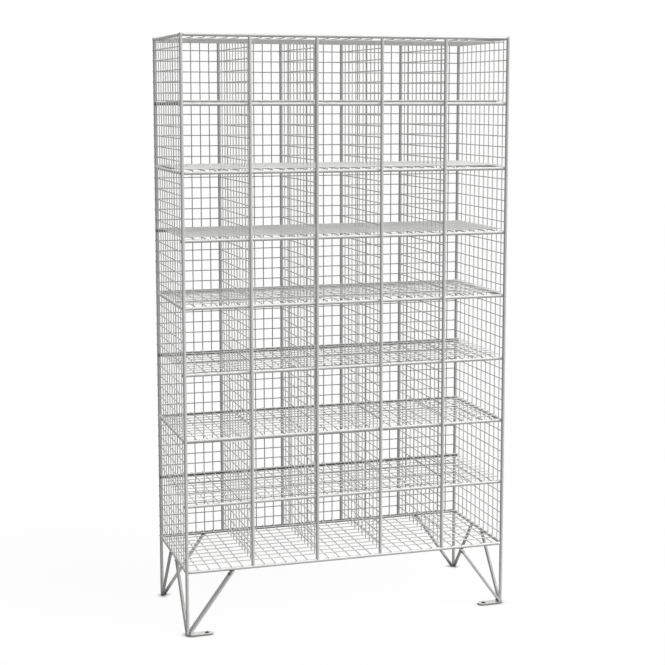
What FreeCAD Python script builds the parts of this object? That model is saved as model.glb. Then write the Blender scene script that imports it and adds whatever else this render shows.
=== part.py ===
import FreeCAD, Part
import math
import os

import Sketcher
from FreeCAD import Vector

# Open-front wire mesh locker: a welded rod frame that carries mesh panels, shelves and dividers.
# Millimetres, +Z up, the open front faces -Y, and the origin is on the floor under the middle.

# Driving sizes: name, value, meaning
SIZES = (
    ("columns", 5, "compartments side by side"),
    ("rows", 8, "compartments one above another"),
    ("column_pitch", 156, "width of a compartment, upright axis to upright axis"),
    ("row_pitch", 152, "height of a compartment, shelf axis to shelf axis"),
    ("frame_depth", 305, "front upright axis to rear upright axis"),
    ("leg_height", 150, "floor to the axes of the bottom rails"),
    ("upright_dia", 8, "posts and divider rods"),
    ("rail_dia", 8, "rails between the posts"),
    ("shelf_rod_dia", 8, "front and rear rods of the shelves"),
    ("brace_dia", 8, "slanting rods of the legs"),
    ("wire_dia", 2.5, "mesh wire"),
    ("rod_quarter_flats", 4, "facets in a quarter turn of a rod"),
    ("upright_panel_flat_pairs", 3, "pairs of facets round a wire of the back and sides"),
    ("inner_panel_flat_pairs", 2, "pairs of facets round a wire of the shelves, dividers, top and base"),
    ("back_cells", 7, "mesh openings across a compartment in the back"),
    ("shelf_cells", 6, "mesh openings across a compartment in the shelves, top and base"),
    ("level_cells", 6, "mesh openings up a compartment"),
    ("depth_cells", 11, "mesh openings from front to rear"),
    ("side_rail_rows", 2, "rows from one side rail to the next"),
    ("side_brace_reach", 120, "post axis to where a side brace meets the rail above it"),
    ("rear_brace_reach", 106, "post axis to where a rear brace meets the rail above it"),
    ("strap_reach", 106, "inner face of the post to the top of a foot strap"),
    ("strap_width", 20, "foot strap, front to rear"),
    ("strap_thickness", 4, "foot strap stock"),
    ("strap_bend_radius", 3, "inside of the fold at the foot"),
    ("tab_length", 55, "inner face of the post to the end of the floor tab"),
    ("tab_corner_radius", 9, "rounded end of the floor tab"),
    ("tab_hole_dia", 10, "bolt hole through the floor tab"),
    ("tab_hole_inset", 14, "end of the floor tab to the middle of the hole"),
)

# Places shared by several pieces, as expressions of the driving sizes
HALF_WIDTH = "(Sizes.columns * Sizes.column_pitch / 2)"
FRONT = "((Sizes.strap_width - Sizes.upright_dia - 4 * Sizes.wire_dia) / 4 - Sizes.frame_depth / 2)"
REAR = f"({FRONT} + Sizes.frame_depth)"
BOTTOM = "Sizes.leg_height"
TOP = "(Sizes.leg_height + Sizes.rows * Sizes.row_pitch)"
POST_FACE = "Sizes.upright_dia / 2"
RAIL_FACE = "Sizes.rail_dia / 2"
SHELF_LAP = "(Sizes.upright_dia + Sizes.shelf_rod_dia) / 2"
POST_INSIDE = f"({HALF_WIDTH} - {POST_FACE})"
POST_OUTSIDE = f"({HALF_WIDTH} + {POST_FACE})"
RAIL_INSIDE = f"({HALF_WIDTH} - {RAIL_FACE})"
UNDER_BOTTOM = f"({BOTTOM} - {RAIL_FACE})"
DEPTH_BETWEEN = "(Sizes.frame_depth - Sizes.upright_dia)"
HEIGHT_BETWEEN = "(Sizes.rows * Sizes.row_pitch - Sizes.rail_dia)"
BACK_PITCH = "Sizes.column_pitch / Sizes.back_cells"
SHELF_PITCH = "Sizes.column_pitch / Sizes.shelf_cells"
LEVEL_PITCH = "Sizes.row_pitch / Sizes.level_cells"
DEPTH_PITCH = "Sizes.frame_depth / Sizes.depth_cells"
ROD_FACETS = "(4 * Sizes.rod_quarter_flats)"
UPRIGHT_PANEL_FACETS = "(2 * Sizes.upright_panel_flat_pairs)"
INNER_PANEL_FACETS = "(2 * Sizes.inner_panel_flat_pairs)"

SIDES = (("left", "-"), ("right", ""))

# Headings about Z, in degrees from +X
TOWARDS_RIGHT, TOWARDS_REAR, TOWARDS_LEFT, TOWARDS_FRONT = 0, 90, 180, -90


def turned(x, y, z, angle):
    """Expression for a turn by an angle about the axis (x, y, z)."""
    return f"rotation(vector({x}; {y}; {z}); {angle})"


# A rod is drawn along Z and turned to run along the named axis
ALONG_X = turned(0, 1, 0, 90)
ALONG_Y = turned(1, 0, 0, -90)
ALONG_Z = turned(0, 0, 1, 0)

# A wire set is drawn along Z and stepped along Y, then turned: run axis, then step axis.
# The flats that touch the crossing wires face the third axis. Wires named "-y" run to the front.
WIRE_TURNS = {
    ("z", "y"): ALONG_Z,
    ("-y", "z"): turned(1, 0, 0, 90),
    ("z", "x"): turned(0, 0, 1, -90),
    ("x", "z"): turned(1, 1, 1, 120),
    ("y", "x"): turned(1, 1, 1, -120),
    ("x", "y"): ALONG_X,
}


def make_sheet(doc):
    """Put the driving sizes into a sheet, one aliased cell each."""
    sheet = doc.addObject("Spreadsheet::Sheet", "Sizes")
    for row, (alias, value, meaning) in enumerate(SIZES, start=1):
        sheet.set(f"A{row}", alias)
        sheet.set(f"B{row}", str(value))
        sheet.set(f"C{row}", meaning)
        sheet.setAlias(f"B{row}", alias)
    doc.recompute()
    return sheet


def place(piece, turn, start):
    """Bind a piece's turn and its start point to expressions."""
    piece.setExpression("Placement.Rotation", turn)
    for axis, expression in zip("xyz", start):
        piece.setExpression(f"Placement.Base.{axis}", expression)


def shape_bar(bar, diameter, facets, length):
    """Give a prism along Z its section and length: the flats lie on the diameter."""
    bar.setExpression("Polygon", facets)
    bar.setExpression("Circumradius", f"{diameter} / 2 / cos(180 / {facets})")
    bar.setExpression("Height", length)


def flats_first(facets):
    """Expression for the half-facet turn that brings flats, not edges, onto the X axis."""
    return turned(0, 0, 1, f"180 / {facets}")


def add_rod(doc, label, diameter, turn, start, length):
    """Add a rod from its start point along the turned Z axis, flats towards what it touches."""
    rod = doc.addObject("Part::Prism", label)
    rod.Label = label
    shape_bar(rod, diameter, ROD_FACETS, length)
    place(rod, f"{turn} * {flats_first(ROD_FACETS)}", start)
    return rod


def add_wires(doc, name, directions, facets, start, length, count, pitch, groups=None, group_pitch=None):
    """Add parallel wires, stepped at a pitch and, where asked, repeated in groups."""
    body = doc.addObject("PartDesign::Body", name)
    body.AllowCompound = True
    wire = body.newObject("PartDesign::AdditivePrism", f"{name}_wire")
    shape_bar(wire, "Sizes.wire_dia", facets, length)
    wire.setExpression("Placement.Rotation", flats_first(facets))
    step_axis = next(item for item in body.Origin.OriginFeatures if item.Role == "Y_Axis")
    grid = body.newObject("PartDesign::LinearPattern", f"{name}_grid")
    grid.Originals = [wire]
    grid.Direction = (step_axis, [""])
    grid.setExpression("Occurrences", count)
    grid.setExpression("Length", f"({count} - 1) * {pitch}")
    if groups:
        grid.Direction2 = (step_axis, [""])
        grid.setExpression("Occurrences2", groups)
        grid.setExpression("Length2", f"({groups} - 1) * {group_pitch}")
    body.Tip = grid
    place(body, WIRE_TURNS[directions], start)
    return body


def group(doc, label, pieces):
    """Gather separate solids into one sub-part."""
    compound = doc.addObject("Part::Compound", label)
    compound.Label = label
    compound.Links = pieces
    return compound


def level_of(row):
    """Expression for the axis height of the rods that many rows above the bottom rails."""
    return f"({BOTTOM} + {row} * Sizes.row_pitch)"


def railed_rows(sheet):
    """Rows whose lower edge has a rail on both sides, the bottom and top rails left out."""
    step = max(1, int(sheet.side_rail_rows))
    return list(range(step, int(sheet.rows), step))


def add_posts(doc):
    """The four corner posts, floor to top."""
    posts = []
    for end, y in (("front", FRONT), ("rear", REAR)):
        for side, sign in SIDES:
            start = (f"{sign}{HALF_WIDTH}", y, "0")
            length = f"{TOP} + {RAIL_FACE}"
            posts.append(add_rod(doc, f"post_{end}_{side}", "Sizes.upright_dia", ALONG_Z, start, length))
    return posts


def add_cross_rails(doc):
    """Top and bottom rails from post to post, front and rear."""
    rails = []
    for height, level in (("top", TOP), ("bottom", BOTTOM)):
        for end, y in (("front", FRONT), ("rear", REAR)):
            start = (f"-{POST_INSIDE}", y, level)
            label = f"{height}_rail_{end}"
            rails.append(add_rod(doc, label, "Sizes.rail_dia", ALONG_X, start, f"2 * {POST_INSIDE}"))
    return rails


def add_side_rails(doc, sheet):
    """Rails from front post to rear post: bottom, top and every few rows between."""
    levels = [("bottom_rail", BOTTOM), ("top_rail", TOP)]
    levels += [(f"side_rail_{row}", level_of(row)) for row in railed_rows(sheet)]
    rails = []
    for name, level in levels:
        for side, sign in SIDES:
            start = (f"{sign}{HALF_WIDTH}", f"{FRONT} + {POST_FACE}", level)
            rails.append(add_rod(doc, f"{name}_{side}", "Sizes.rail_dia", ALONG_Y, start, DEPTH_BETWEEN))
    return rails


def add_back_mesh(doc):
    """Back panel welded behind the rear uprights, level wires first."""
    behind = f"{REAR} + {POST_FACE}"
    levels = add_wires(
        doc, "back_levels", ("x", "z"), UPRIGHT_PANEL_FACETS,
        start=(f"-{POST_OUTSIDE}", f"{behind} + Sizes.wire_dia / 2", BOTTOM),
        length=f"2 * {POST_OUTSIDE}",
        count="Sizes.rows * Sizes.level_cells + 1",
        pitch=LEVEL_PITCH,
    )
    uprights = add_wires(
        doc, "back_uprights", ("z", "x"), UPRIGHT_PANEL_FACETS,
        start=(f"{BACK_PITCH} - {HALF_WIDTH}", f"{behind} + 1.5 * Sizes.wire_dia", UNDER_BOTTOM),
        length="Sizes.rows * Sizes.row_pitch + Sizes.rail_dia",
        count="Sizes.columns * Sizes.back_cells - 1",
        pitch=BACK_PITCH,
    )
    return group(doc, "back_mesh", [levels, uprights])


def add_side_mesh(doc, sheet, side, sign):
    """Side panel in line with the posts: level wires between them, upright wires from rail to rail."""
    panel = [add_wires(
        doc, f"{side}_levels", ("-y", "z"), UPRIGHT_PANEL_FACETS,
        start=(
            f"{sign}({HALF_WIDTH} - Sizes.wire_dia / 2)",
            f"{REAR} - {POST_FACE}",
            f"{BOTTOM} + {LEVEL_PITCH}",
        ),
        length=DEPTH_BETWEEN,
        count="Sizes.level_cells - 1",
        pitch=LEVEL_PITCH,
        groups="Sizes.rows",
        group_pitch="Sizes.row_pitch",
    )]
    rails = [0, *railed_rows(sheet), int(sheet.rows)]
    for lower, upper in zip(rails, rails[1:]):
        panel.append(add_wires(
            doc, f"{side}_uprights_{lower}", ("z", "y"), UPRIGHT_PANEL_FACETS,
            start=(
                f"{sign}({HALF_WIDTH} + Sizes.wire_dia / 2)",
                f"{FRONT} + {DEPTH_PITCH}",
                f"{level_of(lower)} + {RAIL_FACE}",
            ),
            length=f"{upper - lower} * Sizes.row_pitch - Sizes.rail_dia",
            count="Sizes.depth_cells - 1",
            pitch=DEPTH_PITCH,
        ))
    return group(doc, f"{side}_side_mesh", panel)


def add_flat_mesh(doc, label, overhang, bearing, cross):
    """Level mesh: fore-and-aft wires that bear on rods, and cross wires welded to them.

    The fore-and-aft wires run past the upright axes by the overhang, at the bearing height.
    The cross wires end against the upright wires of the side panels.
    """
    fore_aft = add_wires(
        doc, f"{label}_fore_aft", ("y", "x"), INNER_PANEL_FACETS,
        start=(f"{SHELF_PITCH} - {HALF_WIDTH}", f"{FRONT} - {overhang}", bearing),
        length=f"Sizes.frame_depth + 2 * ({overhang})",
        count="Sizes.shelf_cells - 1",
        pitch=SHELF_PITCH,
        groups="Sizes.columns",
        group_pitch="Sizes.column_pitch",
    )
    across = add_wires(
        doc, f"{label}_across", ("x", "y"), INNER_PANEL_FACETS,
        start=(f"-{HALF_WIDTH}", f"{FRONT} + {DEPTH_PITCH}", cross),
        length=f"2 * {HALF_WIDTH}",
        count="Sizes.depth_cells - 1",
        pitch=DEPTH_PITCH,
    )
    return group(doc, label, [fore_aft, across])


def add_base_and_top(doc):
    """Base mesh on top of the bottom rails and top mesh under the top rails."""
    meshes = []
    for label, level, side in (("base_mesh", BOTTOM, "+"), ("top_mesh", TOP, "-")):
        bearing = f"{level} {side} (Sizes.rail_dia + Sizes.wire_dia) / 2"
        cross = f"{bearing} {side} Sizes.wire_dia"
        meshes.append(add_flat_mesh(doc, label, RAIL_FACE, bearing, cross))
    return meshes


def add_shelves(doc, sheet):
    """Each shelf: a front rod, a rear rod and a mesh that lies on both.

    The rods end against the side rails where there are some, and lap the posts elsewhere.
    """
    shelves = []
    rear_rods = []
    rod_dia = "Sizes.shelf_rod_dia"
    railed = railed_rows(sheet)
    for row in range(1, int(sheet.rows)):
        level = level_of(row)
        half = RAIL_INSIDE if row in railed else POST_OUTSIDE
        front_start = (f"-{half}", f"{FRONT} + {SHELF_LAP}", level)
        rear_start = (f"-{half}", f"{REAR} - {SHELF_LAP}", level)
        shelves.append(add_rod(doc, f"shelf_front_rod_{row}", rod_dia, ALONG_X, front_start, f"2 * {half}"))
        rear_rods.append(add_rod(doc, f"shelf_rear_rod_{row}", rod_dia, ALONG_X, rear_start, f"2 * {half}"))
        bearing = f"{level} + (Sizes.shelf_rod_dia + Sizes.wire_dia) / 2"
        cross = f"{bearing} + Sizes.wire_dia"
        shelves.append(add_flat_mesh(doc, f"shelf_mesh_{row}", f"-{POST_FACE}", bearing, cross))
    shelves.append(group(doc, "shelf_rear_rods", rear_rods))
    return shelves


def add_divider(doc, column):
    """Divider between two columns: front rod, rear rod and the mesh that spans them."""
    x = f"{column} * Sizes.column_pitch - {HALF_WIDTH}"
    pieces = []
    for end, y in (("front", FRONT), ("rear", REAR)):
        foot = (x, y, f"{BOTTOM} + {RAIL_FACE}")
        label = f"divider_{end}_rod_{column}"
        pieces.append(add_rod(doc, label, "Sizes.upright_dia", ALONG_Z, foot, HEIGHT_BETWEEN))
    levels = add_wires(
        doc, f"divider_{column}_levels", ("-y", "z"), INNER_PANEL_FACETS,
        start=(x, f"{REAR} - {POST_FACE}", f"{BOTTOM} + {LEVEL_PITCH}"),
        length=DEPTH_BETWEEN,
        count="Sizes.level_cells - 1",
        pitch=LEVEL_PITCH,
        groups="Sizes.rows",
        group_pitch="Sizes.row_pitch",
    )
    # The upright wires pass the shelves one wire clear of the cross wires
    uprights = add_wires(
        doc, f"divider_{column}_uprights", ("z", "y"), INNER_PANEL_FACETS,
        start=(
            f"{x} + Sizes.wire_dia",
            f"{FRONT} + {DEPTH_PITCH} + 2 * Sizes.wire_dia",
            f"{BOTTOM} + {RAIL_FACE} + Sizes.wire_dia",
        ),
        length=f"{HEIGHT_BETWEEN} - 2 * Sizes.wire_dia",
        count="Sizes.depth_cells - 1",
        pitch=DEPTH_PITCH,
    )
    pieces.append(group(doc, f"divider_mesh_{column}", [levels, uprights]))
    return pieces


def add_brace(doc, label, reach, x, y, heading):
    """Slanting rod from the foot of a post to a bottom rail.

    Drawn leaning along X from a post at the origin, then turned about the post to its heading.
    It ends at the face of the post, the floor and the underside of the rail.
    """
    run = f"({reach} - {POST_FACE})"
    lean = f"atan({run} / {UNDER_BOTTOM})"
    spare = "2 * Sizes.brace_dia"
    rod_foot = (f"{POST_FACE} - {spare} * sin({lean})", "0", f"-{spare} * cos({lean})")
    rod_length = f"sqrt({run} ^ 2 + {UNDER_BOTTOM} ^ 2) + 2 * {spare}"
    rod = add_rod(doc, f"{label}_rod", "Sizes.brace_dia", turned(0, 1, 0, lean), rod_foot, rod_length)
    room = doc.addObject("Part::Box", f"{label}_room")
    room.setExpression("Length", f"{run} + {spare}")
    room.setExpression("Width", spare)
    room.setExpression("Height", UNDER_BOTTOM)
    place(room, ALONG_Z, (POST_FACE, "-Sizes.brace_dia", "0"))
    brace = doc.addObject("Part::Common", label)
    brace.Label = label
    brace.Base = rod
    brace.Tool = room
    place(brace, turned(0, 0, 1, heading), (x, y, "0"))
    return brace


def add_braces(doc):
    """Side braces of all four legs and rear braces of the rear legs."""
    braces = []
    for side, sign in SIDES:
        x = f"{sign}{HALF_WIDTH}"
        inward = TOWARDS_RIGHT if side == "left" else TOWARDS_LEFT
        legs = (
            (f"side_brace_front_{side}", "Sizes.side_brace_reach", FRONT, TOWARDS_REAR),
            (f"side_brace_rear_{side}", "Sizes.side_brace_reach", REAR, TOWARDS_FRONT),
            (f"rear_brace_{side}", "Sizes.rear_brace_reach", REAR, inward),
        )
        for label, reach, y, heading in legs:
            braces.append(add_brace(doc, label, reach, x, y, heading))
    return braces


def add_sketch(body, name, role):
    """Add a sketch on one of a body's own origin planes."""
    sketch = body.newObject("Sketcher::SketchObject", name)
    plane = next(item for item in body.Origin.OriginFeatures if item.Role == role)
    sketch.AttachmentSupport = [(plane, "")]
    sketch.MapMode = "FlatFace"
    return sketch


def bind(sketch, name, constraint, expression):
    """Add a dimension to a sketch and bind it to an expression."""
    index = sketch.addConstraint(constraint)
    sketch.renameConstraint(index, name)
    sketch.setExpression(f"Constraints.{name}", expression)


def draw_strap_outline(sketch, sheet):
    """Side view of a foot strap: floor tab, fold against the post, slope up to the rail."""
    stock = sheet.strap_thickness
    inside = sheet.strap_bend_radius
    outside = inside + stock
    fold = Vector(outside, outside, 0)
    inner_top = Vector(sheet.strap_reach, sheet.leg_height - sheet.rail_dia / 2, 0)
    slope = (inner_top - fold).normalize()
    across = Vector(-slope.y, slope.x, 0)
    outer_top = inner_top - Vector(stock / slope.y, 0, 0)
    tab_end = Vector(sheet.tab_length, 0, 0)
    tab_end_top = Vector(sheet.tab_length, stock, 0)
    start = math.atan2(across.y, across.x)
    end = 1.5 * math.pi
    fold_inside = Part.ArcOfCircle(Part.Circle(fold, Vector(0, 0, 1), inside), start, end)
    fold_outside = Part.ArcOfCircle(Part.Circle(fold, Vector(0, 0, 1), outside), start, end)
    outline = (
        Part.LineSegment(Vector(outside, 0, 0), tab_end),
        Part.LineSegment(tab_end, tab_end_top),
        Part.LineSegment(tab_end_top, Vector(outside, stock, 0)),
        fold_inside,
        Part.LineSegment(fold + across * inside, inner_top),
        Part.LineSegment(inner_top, outer_top),
        Part.LineSegment(outer_top, fold + across * outside),
        fold_outside,
    )
    for edge in outline:
        sketch.addGeometry(edge, False)
    under, tip, over, inner_fold, inner_slope, cut, outer_slope, outer_fold = range(len(outline))
    first, last, middle = 1, 2, 3
    origin = (-1, 1)
    sketch.addConstraint([
        Sketcher.Constraint("Coincident", under, last, tip, first),
        Sketcher.Constraint("Coincident", tip, last, over, first),
        Sketcher.Constraint("Tangent", over, last, inner_fold, last),
        Sketcher.Constraint("Tangent", inner_fold, first, inner_slope, first),
        Sketcher.Constraint("Coincident", inner_slope, last, cut, first),
        Sketcher.Constraint("Coincident", cut, last, outer_slope, first),
        Sketcher.Constraint("Tangent", outer_slope, last, outer_fold, first),
        Sketcher.Constraint("Tangent", outer_fold, last, under, first),
        Sketcher.Constraint("Coincident", inner_fold, middle, outer_fold, middle),
        Sketcher.Constraint("Horizontal", under),
        Sketcher.Constraint("Vertical", tip),
        Sketcher.Constraint("Horizontal", over),
        Sketcher.Constraint("Horizontal", cut),
        Sketcher.Constraint("Parallel", inner_slope, outer_slope),
        Sketcher.Constraint("PointOnObject", under, last, -1),
    ])
    dimensions = (
        ("stock", ("DistanceY", tip, first, tip, last, stock), "Sizes.strap_thickness"),
        ("fold", ("Radius", inner_fold, inside), "Sizes.strap_bend_radius"),
        ("fold_x", ("DistanceX", *origin, outer_fold, middle, outside),
         "Sizes.strap_bend_radius + Sizes.strap_thickness"),
        ("tab", ("DistanceX", *origin, tip, first, tab_end.x), "Sizes.tab_length"),
        ("reach", ("DistanceX", *origin, cut, first, inner_top.x), "Sizes.strap_reach"),
        ("rise", ("DistanceY", *origin, cut, first, inner_top.y), UNDER_BOTTOM),
    )
    for name, terms, expression in dimensions:
        bind(sketch, name, Sketcher.Constraint(*terms), expression)


def add_foot_strap(doc, sheet, label, x, heading):
    """Folded strap that braces a front leg and has a bolt hole in its floor tab."""
    body = doc.addObject("PartDesign::Body", label)
    body.Label = label
    outline = add_sketch(body, f"{label}_outline", "XZ_Plane")
    draw_strap_outline(outline, sheet)
    strap = body.newObject("PartDesign::Pad", f"{label}_stock")
    strap.Profile = outline
    strap.SideType = "Symmetric"
    strap.setExpression("Length", "Sizes.strap_width")
    hole = add_sketch(body, f"{label}_hole_outline", "XY_Plane")
    hole_x = sheet.tab_length - sheet.tab_hole_inset
    hole.addGeometry(Part.Circle(Vector(hole_x, 0, 0), Vector(0, 0, 1), sheet.tab_hole_dia / 2), False)
    hole.addConstraint(Sketcher.Constraint("PointOnObject", 0, 3, -1))
    bind(hole, "bore", Sketcher.Constraint("Diameter", 0, sheet.tab_hole_dia), "Sizes.tab_hole_dia")
    bind(hole, "place", Sketcher.Constraint("DistanceX", -1, 1, 0, 3, hole_x),
         "Sizes.tab_length - Sizes.tab_hole_inset")
    pocket = body.newObject("PartDesign::Pocket", f"{label}_hole")
    pocket.Profile = hole
    pocket.Reversed = True
    pocket.setExpression("Length", "Sizes.strap_thickness")
    doc.recompute()
    if pocket.Shape.Volume >= strap.Shape.Volume:
        raise RuntimeError(f"{label}: the bolt hole cuts nothing")
    corners = [
        f"Edge{number}" for number, edge in enumerate(pocket.Shape.Edges, start=1)
        if all(abs(vertex.X - sheet.tab_length) < 1e-6 for vertex in edge.Vertexes)
        and abs(edge.Vertexes[0].Y - edge.Vertexes[-1].Y) < 1e-6
    ]
    rounded = body.newObject("PartDesign::Fillet", f"{label}_rounded")
    rounded.Base = (pocket, corners)
    rounded.setExpression("Radius", "min(Sizes.tab_corner_radius; 0.49 * Sizes.strap_width)")
    body.Tip = rounded
    place(body, turned(0, 0, 1, heading), (x, FRONT, "0"))
    return body


def add_foot_straps(doc, sheet):
    """One strap inside each front post."""
    left = add_foot_strap(doc, sheet, "foot_strap_left", f"-{POST_INSIDE}", TOWARDS_RIGHT)
    right = add_foot_strap(doc, sheet, "foot_strap_right", POST_INSIDE, TOWARDS_LEFT)
    return [left, right]


def check_model(doc, sub_parts):
    """Stop on any failed object or any sub-part without a sound shape."""
    for item in doc.Objects:
        if "Invalid" in item.State or "Error" in item.State:
            raise RuntimeError(f"{item.Label} failed: {item.State}")
    for piece in sub_parts:
        if piece.Shape.isNull() or not piece.Shape.isValid() or not piece.Shape.Solids:
            raise RuntimeError(f"{piece.Label} has no sound shape")


def write_parts(sub_parts, folder="parts"):
    """Write each sub-part to a file of its own name."""
    os.makedirs(folder, exist_ok=True)
    for piece in sub_parts:
        piece.Shape.exportStep(os.path.join(folder, f"{piece.Label}.step"))
        print(f"{piece.Label}: {len(piece.Shape.Solids)} solids, {piece.Shape.Volume / 1000:.1f} cm3")


def main():
    doc = FreeCAD.newDocument("wire_mesh_locker")
    sheet = make_sheet(doc)
    sub_parts = add_posts(doc)
    sub_parts += add_cross_rails(doc)
    sub_parts += add_side_rails(doc, sheet)
    sub_parts.append(add_back_mesh(doc))
    for side, sign in SIDES:
        sub_parts.append(add_side_mesh(doc, sheet, side, sign))
    sub_parts += add_base_and_top(doc)
    for column in range(1, int(sheet.columns)):
        sub_parts += add_divider(doc, column)
    sub_parts += add_shelves(doc, sheet)
    sub_parts += add_braces(doc)
    sub_parts += add_foot_straps(doc, sheet)
    doc.recompute()
    check_model(doc, sub_parts)
    write_parts(sub_parts)


main()
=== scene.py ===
import logging
from dataclasses import dataclass
from enum import Enum
from math import cos, hypot, pi, radians, sin, sqrt
from typing import Iterable, Mapping, Sequence

import bpy
import numpy as np
from mathutils import Euler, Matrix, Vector


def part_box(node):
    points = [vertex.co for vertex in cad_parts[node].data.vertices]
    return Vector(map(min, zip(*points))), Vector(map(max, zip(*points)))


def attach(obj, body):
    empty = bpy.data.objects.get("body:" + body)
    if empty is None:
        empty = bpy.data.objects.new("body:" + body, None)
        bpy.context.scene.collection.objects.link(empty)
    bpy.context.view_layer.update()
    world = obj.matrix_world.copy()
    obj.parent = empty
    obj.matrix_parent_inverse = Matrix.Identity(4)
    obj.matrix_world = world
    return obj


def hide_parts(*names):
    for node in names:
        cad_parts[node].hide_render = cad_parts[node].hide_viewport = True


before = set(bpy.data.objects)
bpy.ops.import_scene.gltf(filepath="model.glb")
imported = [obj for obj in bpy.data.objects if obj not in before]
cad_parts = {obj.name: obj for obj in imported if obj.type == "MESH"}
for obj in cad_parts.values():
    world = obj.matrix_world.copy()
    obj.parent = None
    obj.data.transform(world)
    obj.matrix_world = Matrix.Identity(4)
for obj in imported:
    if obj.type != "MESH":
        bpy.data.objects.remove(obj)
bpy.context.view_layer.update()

# Wire mesh locker: round silver-coated rods, welded mesh panels and folded foot straps, all drawn
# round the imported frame. Metres, +Z up, and the open front faces -Y.

log = logging.getLogger("wire_mesh_locker")

MM = 0.001
BODY = "root"

COLUMNS = 5
ROWS = 8
SIDE_RAIL_ROWS = (2, 4, 6)

# Weld mark: scorched weld metal, and painted shade at the bolt holes and the legs' welds
WELD_AND_SHADE_MARK = "weld"
SAWN_MARK = "sawn"

# Sawn end of a bar, as distance from the end and radius, both in radii: its edge is broken
SAWN_END = np.array([(0.0, 0.80), (0.10, 0.93), (0.30, 1.0), (1.0, 1.0)])


class Axis(Enum):
    """A direction of the frame."""

    X = 0
    Y = 1
    Z = 2


class Lines(Enum):
    """Which lines a mesh keeps, of those that divide the bays between its stations."""

    ALL = "all"
    ENDS_OFF = "ends off"
    STATIONS_OFF = "stations off"


class Side(Enum):
    """A side of the locker, seen from the open front, and its sign along X."""

    LEFT = -1
    RIGHT = 1

    @property
    def word(self) -> str:
        """The side's name in node names."""
        return self.name.lower()


# Surfaces


@dataclass
class Surface:
    """A closed surface as arrays of points and four-cornered faces, with two marks per point.

    Args:
        points: Places, one row each.
        faces: Point numbers, four to a row, counter-clockwise from outside.
        weld: How dark a point's weld mark is, from 0 to 1: weld metal, and painted shade at the bolt
            holes and the legs' welds.
        sawn: How far a point is on a sawn end, from 0 to 1.
    """

    points: np.ndarray
    faces: np.ndarray
    weld: np.ndarray
    sawn: np.ndarray

    @classmethod
    def joined(cls, parts: Sequence["Surface"]) -> "Surface":
        """Put several surfaces into one.

        Args:
            parts: The surfaces, in any order.

        Returns:
            One surface that holds them all, none of them merged.
        """
        counts = [len(part.points) for part in parts]
        firsts = np.concatenate([[0], np.cumsum(counts)[:-1]])
        return cls(
            np.concatenate([part.points for part in parts]),
            np.concatenate([part.faces + first for part, first in zip(parts, firsts)]),
            np.concatenate([part.weld for part in parts]),
            np.concatenate([part.sawn for part in parts]),
        )


def ring_faces(rings: int, sides: int) -> np.ndarray:
    """Faces of a stack of closed rings that is capped at both ends.

    The wall joins point (i, j) to (i, j + 1), (i + 1, j + 1) and (i + 1, j), where the last side
    closes on the first. A cap is strips from one half of its ring to the other.

    Args:
        rings: Rings in the stack.
        sides: Points round a ring, an even number.

    Returns:
        Point numbers, four to a row.
    """
    ring, side = np.meshgrid(np.arange(rings - 1), np.arange(sides), indexing="ij")
    onward = (side + 1) % sides
    here, ahead = ring * sides, (ring + 1) * sides
    wall = np.stack([here + side, here + onward, ahead + onward, ahead + side], axis=-1).reshape(-1, 4)
    strip = np.arange(sides // 2 - 1)
    cap = np.stack([strip, strip + 1, sides - 2 - strip, sides - 1 - strip], axis=-1)
    return np.concatenate([cap[:, ::-1], wall, cap + (rings - 1) * sides])


def stacked(points: np.ndarray, weld: float, end_rings: int) -> Surface:
    """Make a surface of many ring stacks of one size.

    Args:
        points: Places by stack, ring, side and coordinate.
        weld: How far all of it is weld metal.
        end_rings: Rings at each end that are sawn.

    Returns:
        The stacks as one surface.
    """
    count, rings, sides, _ = points.shape
    faces = ring_faces(rings, sides)
    starts = rings * sides * np.arange(count)
    sawn = np.zeros((count, rings, sides))
    if end_rings:
        sawn[:, :end_rings] = 1.0
        sawn[:, -end_rings:] = 1.0
    return Surface(
        points.reshape(-1, 3),
        (faces[None] + starts[:, None, None]).reshape(-1, 4),
        np.full(count * rings * sides, weld),
        sawn.ravel(),
    )


def round_bars(starts: np.ndarray, ends: np.ndarray, radius: float, sides: int) -> Surface:
    """Draw round bars, each a circle carried along a straight path and drawn in at its sawn ends.

    A point is start + t * d + r(t) * (cos a * e1 + sin a * e2), where d runs along the bar, e1 and
    e2 are square to it, t is a ring's distance from the start and a is the angle round the bar.

    Args:
        starts: First ends, one row each.
        ends: Last ends, one row each.
        radius: Radius of the bars.
        sides: Facets round a bar.

    Returns:
        All the bars as one surface.
    """
    run = ends - starts
    length = np.linalg.norm(run, axis=1, keepdims=True)
    along = run / length
    helper = np.eye(3)[np.argmin(np.abs(along), axis=1)]
    first = np.cross(helper, along)
    first /= np.linalg.norm(first, axis=1, keepdims=True)
    second = np.cross(along, first)
    near = SAWN_END[:, 0] * radius
    places = np.concatenate([np.broadcast_to(near, (len(run), len(near))), length - near[::-1]], axis=1)
    radii = radius * np.concatenate([SAWN_END[:, 1], SAWN_END[::-1, 1]])
    angle = (np.arange(sides) + 0.5) * 2 * np.pi / sides
    circle = np.cos(angle)[:, None] * first[:, None, :] + np.sin(angle)[:, None] * second[:, None, :]
    axis_points = starts[:, None, :] + places[..., None] * along[:, None, :]
    points = axis_points[:, :, None, :] + radii[:, None, None] * circle[:, None, :, :]
    return stacked(points, weld=0.0, end_rings=1)


def packed_bar(node: str) -> tuple[np.ndarray, np.ndarray, float]:
    """Read the axis of a straight packed rod.

    Args:
        node: The rod's node.

    Returns:
        Its first end, its last end and its radius.
    """
    low, high = (np.array(corner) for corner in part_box(node))
    longest = int(np.argmax(high - low))
    start = (low + high) / 2
    end = start.copy()
    start[longest], end[longest] = low[longest], high[longest]
    return start, end, np.delete(high - low, longest).min() / 2


def grid_points(xs: Iterable[float], ys: Iterable[float], zs: Iterable[float]) -> np.ndarray:
    """All the points with one of the given coordinates each way, one row each."""
    return np.stack(np.meshgrid(list(xs), list(ys), list(zs), indexing="ij"), axis=-1).reshape(-1, 3)


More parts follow.
